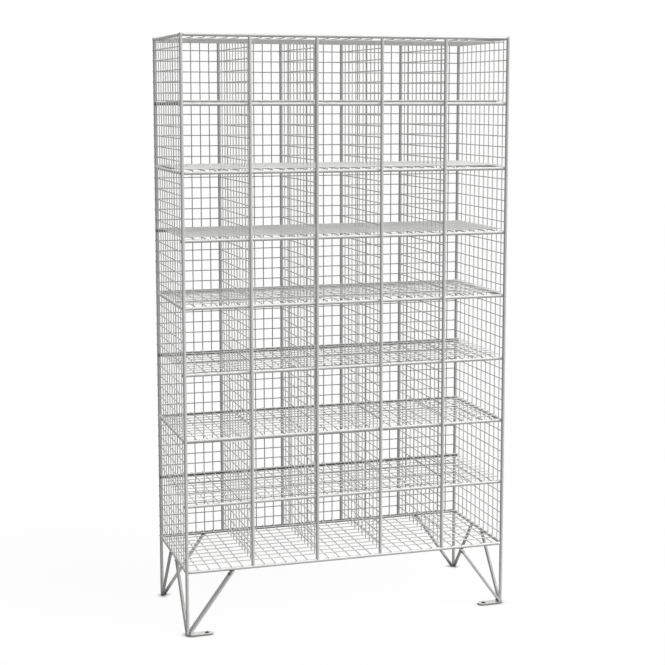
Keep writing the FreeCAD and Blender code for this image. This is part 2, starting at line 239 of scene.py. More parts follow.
@dataclass
class WeldSpots:
    """Weld metal pressed out between bars that touch.

    Args:
        places: Where the bars touch, one row each.
        normal: The axis that points from one bar to the other.
        reach: Half width of a spot.
        height: Half thickness of a spot.
        mark: How dark the spot shows, from 0 to 1: scorched metal, and at the legs' welds painted shade
            as well.
        sides: Facets round a spot.
        rings: Rings from one face of a spot to the other.
        wrap: Angle from a spot's rim to its faces, in degrees.
        lobes: How far two and three lobes make a spot's outline uneven.
    """

    places: np.ndarray
    normal: Axis
    reach: float
    height: float
    mark: float = 0.06
    sides: int = 8
    rings: int = 3
    wrap: float = 66.0
    lobes: tuple[float, float] = (0.12, 0.07)

    def surface(self) -> Surface:
        """Draw each spot as a flattened, uneven ball.

        A point is place + reach * k(a) * cos b * (cos a * e1 + sin a * e2) + height * sin b * n,
        where n is the normal, b goes from face to face, a goes round and k(a) is 1 with a sine of
        2a and a sine of 3a added, each with a phase of the spot's own.

        Returns:
            All the spots as one surface.
        """
        dice = np.random.default_rng(len(self.places))
        turn = dice.uniform(0, 2 * np.pi, (2, len(self.places), 1))
        n, e1, e2 = np.roll(np.eye(3), -self.normal.value, axis=0)
        a = (np.arange(self.sides) + 0.5) * 2 * np.pi / self.sides
        b = np.linspace(-1, 1, self.rings) * radians(self.wrap)
        two, three = self.lobes
        uneven = 1 + two * np.sin(2 * a + turn[0]) + three * np.sin(3 * a + turn[1])
        around = self.reach * uneven[..., None] * (np.cos(a)[:, None] * e1 + np.sin(a)[:, None] * e2)
        points = (
            self.places[:, None, None, :]
            + np.cos(b)[:, None, None] * around[:, None, :, :]
            + self.height * np.sin(b)[:, None, None] * n
        )
        return stacked(points, weld=self.mark, end_rings=0)


@dataclass
class HoleBurr:
    """A dark ring on the wall and the rim of a bolt hole, which paints the shade inside the hole.

    Args:
        centre: Middle of the ring.
        radius: Radius of the ring.
        width: Half thickness of the ring.
        height: Half height of the ring.
        mark: How dark the painted shade shows, from 0 to 1.
        turns: Facets round the hole.
        sides: Facets round the ring's section.
    """

    centre: np.ndarray
    radius: float
    width: float
    height: float
    mark: float = 0.9
    turns: int = 32
    sides: int = 10

    def surface(self) -> Surface:
        """Draw the ring as an oval carried round a circle.

        A point is centre + (radius + width * cos b) * (cos a, sin a, 0) + height * sin b * (0, 0, 1),
        where a goes round the hole and b round the oval. Both close on themselves.

        Returns:
            The ring.
        """
        turn, side = np.meshgrid(np.arange(self.turns), np.arange(self.sides), indexing="ij")
        a, b = turn * 2 * np.pi / self.turns, side * 2 * np.pi / self.sides
        out = self.radius + self.width * np.cos(b)
        ring = np.stack([out * np.cos(a), out * np.sin(a), self.height * np.sin(b)], axis=-1)
        here, ahead = turn * self.sides, (turn + 1) % self.turns * self.sides
        onward = (side + 1) % self.sides
        faces = np.stack([here + side, ahead + side, ahead + onward, here + onward], axis=-1)
        marks = np.full(turn.size, self.mark)
        return Surface(
            (self.centre + ring).reshape(-1, 3), faces.reshape(-1, 4), marks, np.zeros(turn.size)
        )


# Objects


def add_piece(node: str, surface: Surface, material: bpy.types.Material) -> None:
    """Put a surface into the scene as a piece that rides on the locker, in place of a packed one.

    Args:
        node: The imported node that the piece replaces, or a name of its own where there is none.
        surface: Its shape and marks.
        material: Its finish.
    """
    name = f"round_{node}"
    mesh = bpy.data.meshes.new(name)
    mesh.vertices.add(len(surface.points))
    mesh.vertices.foreach_set("co", surface.points.astype(np.float32).ravel())
    mesh.loops.add(surface.faces.size)
    mesh.loops.foreach_set("vertex_index", surface.faces.astype(np.int32).ravel())
    mesh.polygons.add(len(surface.faces))
    mesh.polygons.foreach_set("loop_start", np.arange(0, surface.faces.size, 4, dtype=np.int32))
    mesh.update(calc_edges=True)
    mesh.shade_smooth()
    for mark, values in ((WELD_AND_SHADE_MARK, surface.weld), (SAWN_MARK, surface.sawn)):
        mesh.attributes.new(mark, "FLOAT", "POINT").data.foreach_set("value", values.astype(np.float32))
    mesh.materials.append(material)
    piece = bpy.data.objects.new(name, mesh)
    bpy.context.scene.collection.objects.link(piece)
    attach(piece, BODY)
    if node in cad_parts:
        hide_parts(node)
    log.info("%s: %d faces", name, len(surface.faces))


def middle(node: str, axis: Axis) -> float:
    """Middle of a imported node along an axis."""
    low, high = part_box(node)
    return (low[axis.value] + high[axis.value]) / 2


def mesh_lines(stations: np.ndarray, cells: int, kept: Lines) -> np.ndarray:
    """Divide each bay between stations into equal cells.

    Args:
        stations: Places of the rods that bound the bays, evenly spaced.
        cells: Cells in a bay.
        kept: Which of the lines are kept.

    Returns:
        Places of the kept lines.
    """
    lines = np.linspace(stations[0], stations[-1], cells * (len(stations) - 1) + 1)
    if kept is Lines.ENDS_OFF:
        return lines[1:-1]
    if kept is Lines.STATIONS_OFF:
        return lines[np.arange(len(lines)) % cells > 0]
    return lines


@dataclass(frozen=True)
class Layout:
    """Axes of the frame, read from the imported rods.

    Args:
        uprights: Axes of posts and divider rods along X, left to right.
        levels: Axes of bottom rails, shelves and top rails along Z.
        front: Axes of the front uprights along Y.
        rear: Axes of the rear uprights along Y.
        rod: Radius of a rod.
    """

    uprights: np.ndarray
    levels: np.ndarray
    front: float
    rear: float
    rod: float

    @classmethod
    def read(cls) -> "Layout":
        """Read the layout from the frame.

        Returns:
            The layout.
        """
        rods = [f"divider_front_rod_{column}" for column in range(1, COLUMNS)]
        uprights = ["post_front_left", *rods, "post_front_right"]
        shelves = [f"shelf_front_rod_{row}" for row in range(1, ROWS)]
        levels = ["bottom_rail_front", *shelves, "top_rail_front"]
        return cls(
            np.array([middle(node, Axis.X) for node in uprights]),
            np.array([middle(node, Axis.Z) for node in levels]),
            middle("post_front_left", Axis.Y),
            middle("post_rear_left", Axis.Y),
            packed_bar("post_front_left")[2],
        )

    def depth_lines(self, cells: int) -> np.ndarray:
        """Mesh lines from front to rear, without the two at the uprights."""
        return mesh_lines(np.array([self.front, self.rear]), cells, Lines.ENDS_OFF)


# Finishes


def linear(colour: str) -> tuple[float, float, float, float]:
    """Turn an sRGB colour into a linear one, by the sRGB standard's curve.

    Args:
        colour: The colour in hex.

    Returns:
        Red, green, blue and alpha.
    """
    shares = np.array([*bytes.fromhex(colour[1:])]) / 255
    channels = np.where(shares <= 0.04045, shares / 12.92, ((shares + 0.055) / 1.055) ** 2.4)
    return (*channels.tolist(), 1.0)


def add_node(
    tree: bpy.types.NodeTree,
    kind: str,
    settings: Mapping[str, object] | None = None,
    values: Mapping[str | int, object] | None = None,
    links: Mapping[str | int, bpy.types.NodeSocket] | None = None,
) -> bpy.types.NodeOutputs:
    """Add a node to a tree.

    Args:
        tree: The tree.
        kind: The node's type.
        settings: Properties to set.
        values: Input values by socket.
        links: Output sockets to link, by input socket.

    Returns:
        The node's outputs.
    """
    node = tree.nodes.new(kind)
    for name, value in (settings or {}).items():
        setattr(node, name, value)
    for socket, value in (values or {}).items():
        node.inputs[socket].default_value = value
    for socket, source in (links or {}).items():
        tree.links.new(source, node.inputs[socket])
    return node.outputs


def new_tree(name: str) -> tuple[bpy.types.Material, bpy.types.NodeTree]:
    """Make a material with no nodes.

    Args:
        name: The material's name.

    Returns:
        The material and its node tree.
    """
    material = bpy.data.materials.new(name)
    material.use_nodes = True
    material.node_tree.nodes.clear()
    return material, material.node_tree


@dataclass(frozen=True)
class PowderCoat:
    """Steel with a silver powder coat, sprayed dry and stoved.

    The coat gives a satin, faintly pebbled silver: softly mirrored light, a little darker where it
    is thin, with painted shade on faces turned away from a set light direction, darker within a few
    millimetres of the floor, and duller over weld metal and sawn ends.

    Args:
        name: The material's name.
        thick: Colour where the coat is thick.
        thin: Colour where the coat is thin.
        glanced: Painted shade colour of the faces turned away from the light.
        spray: Direction towards the light that the painted shade is set against.
        turned: How squarely a face looks towards that light where the painted shade ends and where it is
            gone.
        scuffed: Colour that the coat darkens to at the floor.
        scuff_mm: Height above the floor at which the darkening ends.
        scorched: Colour over scorched weld metal, and of painted shade where the weld mark carries it.
        bare: Colour of a sawn end.
        metallic: Share of the coat that mirrors as metal flake does.
        smooth: Roughness on a pebble's crown.
        rough: Roughness between the pebbles.
        dulled: Roughness that scorched weld metal adds.
        cloud_mm: Width of a cloud of thicker coat.
        cloud_detail: Steps of finer clouds within a cloud.
        pebble_mm: Width of a pebble. The real ones are near 0.5 mm, and are drawn coarser to show.
        pebble_detail: Steps of finer grain within a pebble.
        pebble_height_mm: Height of a pebble.
        relief: Share of that height that shows.
    """

    name: str
    thick: str = "#E5E5E4"
    thin: str = "#D7D7D5"
    glanced: str = "#AEAEAC"
    spray: tuple[float, float, float] = (0.35, -0.77, 0.53)
    turned: tuple[float, float] = (-0.2, 0.6)
    scuffed: str = "#70706E"
    scuff_mm: float = 7.0
    scorched: str = "#3C3B39"
    bare: str = "#8A8A88"
    metallic: float = 0.1
    smooth: float = 0.34
    rough: float = 0.50
    dulled: float = 0.25
    cloud_mm: float = 38.0
    cloud_detail: float = 3.0
    pebble_mm: float = 1.4
    pebble_detail: float = 2.0
    pebble_height_mm: float = 0.05
    relief: float = 0.6

    def make(self) -> bpy.types.Material:
        """Build the finish as nodes on object coordinates and the piece's own marks.

        Returns:
            The material.
        """
        material, tree = new_tree(self.name)
        texture = add_node(tree, "ShaderNodeTexCoord")
        place = texture["Object"]
        clouds, pebbles = (
            add_node(
                tree, "ShaderNodeTexNoise",
                values={"Scale": 1 / (width * MM), "Detail": detail}, links={"Vector": place},
            )["Fac"]
            for width, detail in (
                (self.cloud_mm, self.cloud_detail), (self.pebble_mm, self.pebble_detail)
            )
        )
        weld, sawn = (
            add_node(tree, "ShaderNodeAttribute", {"attribute_name": mark})["Fac"]
            for mark in (WELD_AND_SHADE_MARK, SAWN_MARK)
        )
        # Painted shade: faces turned away from the set light direction take the painted shade colour
        facing_light = add_node(
            tree, "ShaderNodeVectorMath", {"operation": "DOT_PRODUCT"},
            {1: self.spray}, {0: texture["Normal"]},
        )["Value"]
        # Darker towards the floor, fading out a few millimetres above it
        height = add_node(tree, "ShaderNodeSeparateXYZ", links={"Vector": place})["Z"]
        painted_lit, off_floor = (
            add_node(
                tree, "ShaderNodeMapRange",
                values={"From Min": least, "From Max": most}, links={"Value": measure},
            )["Result"]
            for measure, (least, most) in ((facing_light, self.turned), (height, (0.0, self.scuff_mm * MM)))
        )
        colour = add_node(
            tree, "ShaderNodeMix", {"data_type": "RGBA"},
            {"A": linear(self.thin), "B": linear(self.thick)}, {"Factor": clouds},
        )["Result"]
        # Painted shade on faces turned from the light and darkening near the floor go under; sawn ends
        # and welds lie over it
        for factor, under, over, change in (
            (painted_lit, "B", "A", self.glanced),
            (off_floor, "B", "A", self.scuffed),
            (sawn, "A", "B", self.bare),
            (weld, "A", "B", self.scorched),
        ):
            colour = add_node(
                tree, "ShaderNodeMix", {"data_type": "RGBA"},
                {over: linear(change)}, {"Factor": factor, under: colour},
            )["Result"]
        gloss = add_node(
            tree, "ShaderNodeMapRange",
            values={"To Min": self.rough, "To Max": self.smooth}, links={"Value": pebbles},
        )["Result"]
        roughness = add_node(
            tree, "ShaderNodeMath", {"operation": "MULTIPLY_ADD"}, {1: self.dulled}, {0: weld, 2: gloss}
        )["Value"]
        normal = add_node(
            tree, "ShaderNodeBump",
            values={"Strength": self.relief, "Distance": self.pebble_height_mm * MM},
            links={"Height": pebbles},
        )["Normal"]
        shader = add_node(
            tree, "ShaderNodeBsdfPrincipled", values={"Metallic": self.metallic},
            links={"Base Color": colour, "Roughness": roughness, "Normal": normal},
        )["BSDF"]
        add_node(tree, "ShaderNodeOutputMaterial", links={"Surface": shader})
        return material


# Directions of painted light: from behind the locker, and from the open front below the top
PAINTED_LIGHT_FROM_BEHIND = (0.0, 0.95, -0.3)
PAINTED_LIGHT_FROM_BELOW = (0.30, -0.60, -0.74)


class Coat(Enum):
    """The locker's finishes.

    Each paints shade on the faces turned away from its light direction. What stands at the rear or
    behind other rods has darker colours, as painted shade. The back panel and the rear rods under the
    meshes have their painted light from behind, so their fronts are painted dark. The top panel has its
    painted light from below, through the open front, so its underside is painted lighter.
    """

    RODS = PowderCoat("powder_coated_round_bar")
    WIRES = PowderCoat("powder_coated_mesh_wire")
    STRIPS = PowderCoat("powder_coated_strip")
    # Darker copies of the coat paint shade at the rear; the top panel's copy paints light below
    REAR_RODS = PowderCoat("thinly_coated_round_bar", "#D0D0CF", "#BEBEBC")
    SHADED_RODS = PowderCoat("barely_coated_round_bar", "#AEAEAD", "#9C9C9A")
    UNDER_RODS = PowderCoat("rear_sprayed_round_bar", "#D0D0CF", "#BEBEBC", "#5C5C5A", PAINTED_LIGHT_FROM_BEHIND)
    BACK_WIRES = PowderCoat("rear_sprayed_mesh_wire", "#D6D6D5", "#C6C6C4", "#9C9C9A", PAINTED_LIGHT_FROM_BEHIND)
    TOP_WIRES = PowderCoat("under_sprayed_mesh_wire", "#F2F2F1", "#E8E8E6", spray=PAINTED_LIGHT_FROM_BELOW)


Finishes = Mapping[Coat, bpy.types.Material]


@dataclass(frozen=True)
class StudioWhite:
    """Matt white paint of a studio floor: even, pale and dull, so that only a faint shadow marks it.

    Args:
        name: The material's name.
        paint: Colour that the camera and mirrored rays see.
        contact: Painted shade colour right against a thing that stands on the floor.
        bounced: Colour that soft light bounces from.
        glow: Share of the seen floor that is plain white where nothing stands close to it.
        contact_mm: How far from a thing that stands on the floor the painted shade reaches.
        falloff: How fast the painted shade fades, as a power.
        tries: Rays that look for such a thing.
    """

    name: str = "matt_white_floor_paint"
    paint: str = "#FCFCFB"
    contact: str = "#70706E"
    bounced: str = "#949493"
    glow: float = 0.92
    contact_mm: float = 14.0
    falloff: float = 3.0
    tries: int = 8

    def make(self) -> bpy.types.Material:
        """Build the floor's finish.

        Returns:
            The material.
        """
        material, tree = new_tree(self.name)
        seen = direct_rays(tree)
        # Painted contact shadow: ambient occlusion darkens the floor's colour and its white glow near
        # anything standing on it
        open_floor = add_node(
            tree, "ShaderNodeAmbientOcclusion",
            {"samples": self.tries}, {"Distance": self.contact_mm * MM},
        )["AO"]
        clear = add_node(
            tree, "ShaderNodeMath", {"operation": "POWER"}, {1: self.falloff}, {0: open_floor}
        )["Value"]
        dimmed = add_node(
            tree, "ShaderNodeMix", {"data_type": "RGBA"},
            {"A": linear(self.contact), "B": linear(self.paint)}, {"Factor": clear},
        )["Result"]
        colour = add_node(
            tree, "ShaderNodeMix", {"data_type": "RGBA"},
            {"A": linear(self.bounced)}, {"Factor": seen, "B": dimmed},
        )["Result"]
        paint = add_node(tree, "ShaderNodeBsdfDiffuse", links={"Color": colour})["BSDF"]
        white = add_node(tree, "ShaderNodeEmission")["Emission"]
        lit = add_node(
            tree, "ShaderNodeMath", {"operation": "MULTIPLY"}, {1: self.glow}, {0: clear}
        )["Value"]
        share = add_node(
            tree, "ShaderNodeMath", {"operation": "MULTIPLY"}, links={0: seen, 1: lit}
        )["Value"]
        shader = add_node(tree, "ShaderNodeMixShader", links={0: share, 1: paint, 2: white})["Shader"]
        add_node(tree, "ShaderNodeOutputMaterial", links={"Surface": shader})
        return material


def direct_rays(tree: bpy.types.NodeTree) -> bpy.types.NodeSocket:
    """Add nodes that give 1 on camera, glossy and transmission rays and 0 on the rest.

    Args:
        tree: The tree to add them to.

    Returns:
        The output socket.
    """
    path = add_node(tree, "ShaderNodeLightPath")
    direct = path["Is Camera Ray"]
    for other in ("Is Glossy Ray", "Is Transmission Ray"):
        direct = add_node(
            tree, "ShaderNodeMath", {"operation": "MAXIMUM"}, links={0: direct, 1: path[other]}
        )["Value"]
    return direct


# Sub-assemblies


@dataclass
class RodFrame:
    """Posts, rails, divider rods and shelf rods: round bar, sawn to length.

    Args:
        layout: Axes of the frame.
        sides: Facets round a rod.
        collar_reach: Half width of the weld round the end of a rod, in radii of the rod.
        collar_sides: Facets round that weld.
        weld_reach: Half width of the weld where two rods cross.
        weld_sides: Facets round that weld.
        weld_height: Half thickness of a weld between rods.
        weld_rings: Rings from one face of a weld to the other.
        weld_mark: How dark a weld shows, from 0 to 1.
    """

    layout: Layout
    sides: int = 24
    collar_reach: float = 1.05
    collar_sides: int = 16
    weld_reach: float = 2.9 * MM
    weld_sides: int = 14
    weld_height: float = 1.4 * MM
    weld_rings: int = 7
    weld_mark: float = 0.12

    def single_rods(self) -> list[str]:
        """List the nodes that are one rod each.

        Returns:
            Their names, posts first.
        """
        ends = ("front", "rear")
        words = [side.word for side in Side]
        nodes = [f"post_{end}_{word}" for end in ends for word in words]
        nodes += [f"{level}_rail_{place}" for level in ("bottom", "top") for place in (*ends, *words)]
        nodes += [f"side_rail_{row}_{word}" for row in SIDE_RAIL_ROWS for word in words]
        nodes += [f"divider_{end}_rod_{column}" for end in ends for column in range(1, COLUMNS)]
        return nodes + [f"shelf_front_rod_{row}" for row in range(1, ROWS)]

    def rear_shelf_rods(self) -> Surface:
        """Draw the rear shelf rods, which share one node, as long as the front ones.

        Returns:
            The rods as one surface.
        """
        rear = middle("shelf_rear_rods", Axis.Y)
        boxes = np.array([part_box(f"shelf_front_rod_{row}") for row in range(1, ROWS)])
        starts, ends = boxes[:, 0], boxes[:, 1]
        starts[:, 1] = ends[:, 1] = rear
        starts[:, 2] = ends[:, 2] = self.layout.levels[1:-1]
        return round_bars(starts, ends, self.layout.rod, self.sides)

    def joints(self) -> list[WeldSpots]:
        """Welds wherever two rods of the frame meet.

        Returns:
            The welds of the rails, the divider rods and the shelf rods.
        """
        layout = self.layout
        posts, dividers = layout.uprights[[0, -1]], layout.uprights[1:-1]
        ends = np.array([layout.front, layout.rear])
        shelf_rods = np.array([middle("shelf_front_rod_1", Axis.Y), middle("shelf_rear_rods", Axis.Y)])
        touches = (ends + shelf_rods) / 2
        shelves, rims = layout.levels[1:-1], layout.levels[[0, -1]]
        railed = layout.levels[list(SIDE_RAIL_ROWS)]
        inward = layout.rod * np.array([1.0, -1.0])
        weld = {"height": self.weld_height, "mark": self.weld_mark, "rings": self.weld_rings}
        collar = {"reach": self.collar_reach * layout.rod, "sides": self.collar_sides, **weld}
        spot = {"reach": self.weld_reach, "sides": self.weld_sides, **weld}
        return [
            WeldSpots(grid_points(posts + inward, ends, rims), Axis.X, **collar),
            WeldSpots(grid_points(posts, ends + inward, [*rims, *railed]), Axis.Y, **collar),
            WeldSpots(grid_points(dividers, ends, rims + inward), Axis.Z, **collar),
            WeldSpots(grid_points(posts + inward, shelf_rods, railed), Axis.X, **collar),
            WeldSpots(grid_points(posts, touches, np.setdiff1d(shelves, railed)), Axis.Y, **spot),
            WeldSpots(grid_points(dividers, touches, shelves), Axis.Y, **spot),
        ]

    def build(self) -> dict[str, Surface]:
        """Draw the rods and their welds.

        Returns:
            Surfaces by node.
        """
        surfaces = {}
        for node in self.single_rods():
            start, end, radius = packed_bar(node)
            surfaces[node] = round_bars(start[None], end[None], radius, self.sides)
        surfaces["shelf_rear_rods"] = self.rear_shelf_rods()
        surfaces["rod_welds"] = Surface.joined([spots.surface() for spots in self.joints()])
        return surfaces

    def dress(self, surfaces: Mapping[str, Surface], finishes: Finishes) -> None:
        """Put the rods and welds into the scene.

        Args:
            surfaces: Surfaces by node.
            finishes: Materials by coat.
        """
        # Painted shade at the rear: on the uprights, deep on the top rod under the top mesh, and on the
        # fronts of the other level ones, which are under meshes
        rear_shade_coats = {"post": Coat.REAR_RODS, "divider": Coat.REAR_RODS, "top": Coat.SHADED_RODS}
        for node, surface in surfaces.items():
            kind = node.split("_")[0]
            coat = rear_shade_coats.get(kind, Coat.UNDER_RODS) if "rear" in node else Coat.RODS
            add_piece(node, surface, finishes[coat])


@dataclass
class WireSet:
    """Parallel wires of a mesh.

    Args:
        run: Axis that the wires run along.
        step: Axis that they step along.
        places: Their places along the step axis.
        level: Their place along the third axis.
        first: Where they start along the run, for all of them or for each.
        last: Where they end along the run, for all of them or for each.
    """

    run: Axis
    step: Axis
    places: np.ndarray
    level: float
    first: float | np.ndarray
    last: float | np.ndarray

    def surface(self, radius: float, sides: int) -> Surface:
        """Draw the wires as round bars.

        Args:
            radius: Radius of a wire.
            sides: Facets round a wire.

        Returns:
            All the wires as one surface.
        """
        starts = np.full((len(self.places), 3), self.level)
        starts[:, self.step.value] = self.places
        ends = starts.copy()
        starts[:, self.run.value] = self.first
        ends[:, self.run.value] = self.last
        return round_bars(starts, ends, radius, sides)


@dataclass
class MeshPanel:
    """A welded panel: two sets of wires that touch at every crossing.

    Args:
        node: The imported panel.
        first: One set of wires.
        second: The set that crosses it.
        seats: Welds that hold the panel to the rods.
        radius: Radius of a wire.
        sides: Facets round a wire.
        weld_reach: Half width of the weld at a crossing, in radii of the wire.
        weld_height: Half thickness of that weld, in radii of the wire.
    """

    node: str
    first: WireSet
    second: WireSet
    seats: list[WeldSpots]
    radius: float
    sides: int = 8
    weld_reach: float = 0.9
    weld_height: float = 0.45

    def crossings(self) -> WeldSpots:
        """Welds where the two sets cross.

        Returns:
            The welds, with their normal along the third axis.
        """
        (third,) = set(Axis) - {self.first.run, self.second.run}
        reaches = {
            self.first.run: np.unique(self.second.places),
            self.second.run: np.unique(self.first.places),
            third: [(self.first.level + self.second.level) / 2],
        }
        places = grid_points(*(reaches[axis] for axis in Axis))
        return WeldSpots(places, third, self.weld_reach * self.radius, self.weld_height * self.radius)

    def surface(self) -> Surface:
        """Draw the wires and the welds.

        Returns:
            The panel as one surface.
        """
        parts = [wires.surface(self.radius, self.sides) for wires in (self.first, self.second)]
        parts += [spots.surface() for spots in (self.crossings(), *self.seats)]
        return Surface.joined(parts)


@dataclass
class MeshPanels:
    """All the welded panels: back, sides, top, base, shelves and dividers.

    Args:
        layout: Axes of the frame.
        radius: Radius of a mesh wire.
        back_cells: Cells across a column in the back.
        shelf_cells: Cells across a column in the shelves, top and base.
        level_cells: Cells up a row.
        depth_cells: Cells from front to rear.
        divider_step: How far the divider's upright wires stand behind the shelves' cross wires.
        seat_reach: Half width of the weld that holds a wire to a rod.
        seat_height: Half thickness of that weld.
    """

    layout: Layout
    radius: float = 1.25 * MM
    back_cells: int = 7
    shelf_cells: int = 6
    level_cells: int = 6
    depth_cells: int = 11
    divider_step: float = 5.0 * MM
    seat_reach: float = 1.25 * MM
    seat_height: float = 0.6 * MM

    def seat(self, places: np.ndarray, normal: Axis) -> WeldSpots:
        """Welds that hold wires to rods."""
        return WeldSpots(places, normal, self.seat_reach, self.seat_height)

    def back(self) -> MeshPanel:
        """Back panel: level wires on the rear uprights, upright wires behind them.

        Returns:
            The panel.
        """
        layout = self.layout
        low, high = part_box("back_mesh")
        levels = mesh_lines(layout.levels, self.level_cells, Lines.ALL)
        columns = mesh_lines(layout.uprights, self.back_cells, Lines.ENDS_OFF)
        return MeshPanel(
            "back_mesh",
            WireSet(Axis.X, Axis.Z, levels, low[1] + self.radius, low[0], high[0]),
            WireSet(Axis.Z, Axis.X, columns, high[1] - self.radius, low[2], high[2]),
            [self.seat(grid_points(layout.uprights, [low[1]], levels), Axis.Y)],
            self.radius,
        )

    def side(self, side: Side) -> MeshPanel:
        """Side panel: level wires from post to post, upright wires outside them from rail to rail.

        Args:
            side: The side.

        Returns:
            The panel.
        """
        layout = self.layout
        node = f"{side.word}_side_mesh"
        low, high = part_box(node)
        inner, outer = (high, low) if side is Side.LEFT else (low, high)
        level_x = inner[0] + side.value * self.radius
        upright_x = outer[0] - side.value * self.radius
        levels = mesh_lines(layout.levels, self.level_cells, Lines.STATIONS_OFF)
        depths = layout.depth_lines(self.depth_cells)
        rails = layout.levels[[0, *SIDE_RAIL_ROWS, ROWS]]
        feet, heads = rails[:-1] + layout.rod, rails[1:] - layout.rod
        return MeshPanel(
            node,
            WireSet(Axis.Y, Axis.Z, levels, level_x, low[1], high[1]),
            WireSet(
                Axis.Z, Axis.Y, np.tile(depths, len(feet)), upright_x,
                np.repeat(feet, len(depths)), np.repeat(heads, len(depths)),
            ),
            [
                self.seat(grid_points([level_x], [low[1], high[1]], levels), Axis.Y),
                self.seat(grid_points([upright_x], depths, [*feet, *heads]), Axis.Z),
            ],
            self.radius,
        )

    def flat(self, node: str, front_rod: str, rear_rod: str, rods_above: bool) -> MeshPanel:
        """Level panel: fore-and-aft wires against the rods, cross wires on their other side.

        Args:
            node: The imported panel.
            front_rod: The rod that carries its front.
            rear_rod: The rod that carries its rear.
            rods_above: Whether the panel hangs under its rods.

        Returns:
            The panel.
        """
        layout = self.layout
        low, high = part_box(node)
        columns = mesh_lines(layout.uprights, self.shelf_cells, Lines.STATIONS_OFF)
        depths = layout.depth_lines(self.depth_cells)
        upper, lower = high[2] - self.radius, low[2] + self.radius
        fore_aft, across, bearing = (upper, lower, high[2]) if rods_above else (lower, upper, low[2])
        rods = [middle(front_rod, Axis.Y), middle(rear_rod, Axis.Y)]
        return MeshPanel(
            node,
            WireSet(Axis.Y, Axis.X, columns, fore_aft, low[1], high[1]),
            WireSet(Axis.X, Axis.Y, depths, across, low[0], high[0]),
            [self.seat(grid_points(columns, rods, [bearing]), Axis.Z)],
            self.radius,
        )

    def divider(self, column: int) -> MeshPanel:
        """Divider panel: level wires between its rods, upright wires beside them.

        Args:
            column: The column on its left, from 1.

        Returns:
            The panel.
        """
        layout = self.layout
        node = f"divider_mesh_{column}"
        low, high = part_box(node)
        levels = mesh_lines(layout.levels, self.level_cells, Lines.STATIONS_OFF)
        depths = layout.depth_lines(self.depth_cells) + self.divider_step
        level_x = low[0] + self.radius
        return MeshPanel(
            node,
            WireSet(Axis.Y, Axis.Z, levels, level_x, low[1], high[1]),
            WireSet(Axis.Z, Axis.Y, depths, high[0] - self.radius, low[2], high[2]),
            [self.seat(grid_points([level_x], [low[1], high[1]], levels), Axis.Y)],
            self.radius,
        )

    def build(self) -> dict[str, Surface]:
        """Draw every panel.

        Returns:
            Surfaces by node, outer panels first.
        """
        # Each level panel, the rods at its front and its rear, and whether it hangs under them
        flats = [
            ("base_mesh", "bottom_rail_front", "bottom_rail_rear", False),
            ("top_mesh", "top_rail_front", "top_rail_rear", True),
        ]
        flats += [
            (f"shelf_mesh_{row}", f"shelf_front_rod_{row}", "shelf_rear_rods", False)
            for row in range(1, ROWS)
        ]
        panels = [self.back(), *(self.side(side) for side in Side), *(self.flat(*flat) for flat in flats)]
        panels += [self.divider(column) for column in range(1, COLUMNS)]
        return {panel.node: panel.surface() for panel in panels}

    def dress(self, surfaces: Mapping[str, Surface], finishes: Finishes) -> None:
        """Put the panels into the scene.

        Args:
            surfaces: Surfaces by node.
            finishes: Materials by coat.
        """
        # Painted shade on the back panel's front, and painted light under the top panel
        painted_light_coats = {"back_mesh": Coat.BACK_WIRES, "top_mesh": Coat.TOP_WIRES}
        for node, surface in surfaces.items():
            add_piece(node, surface, finishes[painted_light_coats.get(node, Coat.WIRES)])


@dataclass
class Brace:
    """A slanting rod from the foot of a post to a bottom rail, cut to fit all that it meets.

    Args:
        node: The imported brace.
        post: Axis of its post along X and Y.
        heading: Level direction away from the post, as X and Y.
    """

    node: str
    post: np.ndarray
    heading: np.ndarray

    def surface(self, radius: float, sides: int, rings: int) -> Surface:
        """Draw the brace as a circle carried along its slope.

        A point is foot + s * d + radius * (cos a * e2 + sin a * e1), where d is the slope, e2 is
        square to it and upright, and e1 is level. Along each line of constant a, s goes from the
        higher of the cuts by the floor and by the post's face up to the cut under the rail.

        Args:
            radius: Radius of the rod.
            sides: Facets round it.
            rings: Rings along it.

        Returns:
            The brace.
        """
        low, high = (np.array(corner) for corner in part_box(self.node))
        out = np.array([*self.heading, 0.0])
        up = np.array([0.0, 0.0, 1.0])
        foot = np.array([*(self.post + radius * self.heading), 0.0])
        rise = high[2]
        # Under the rail the brace's far side leads its axis by radius * hypot(run, rise) / rise, so
        # the axis's run is the lesser root of a quadratic in the far side's reach
        reach = np.max((np.stack([low, high]) - foot) @ out)
        steepness = 1 - (radius / rise) ** 2
        run = (reach - sqrt(reach**2 - steepness * (reach**2 - radius**2))) / steepness
        slope = (run * out + rise * up) / hypot(run, rise)
        square = np.cross(np.cross(slope, out), slope)
        square /= np.linalg.norm(square) * np.sign(square @ up)
        level = np.cross(square, slope)
        a = (np.arange(sides) + 0.5) * 2 * np.pi / sides
        circle = radius * (np.cos(a)[:, None] * square + np.sin(a)[:, None] * level)
        floor_cut = -(circle @ up) / (slope @ up)
        post_cut = -(circle @ out) / (slope @ out)
        rail_cut = floor_cut + rise / (slope @ up)
        share = np.linspace(0, 1, rings)[:, None]
        s = (1 - share) * np.maximum(floor_cut, post_cut) + share * rail_cut
        points = foot + s[..., None] * slope + circle
        return stacked(points[None, :, ::-1], weld=0.0, end_rings=1)


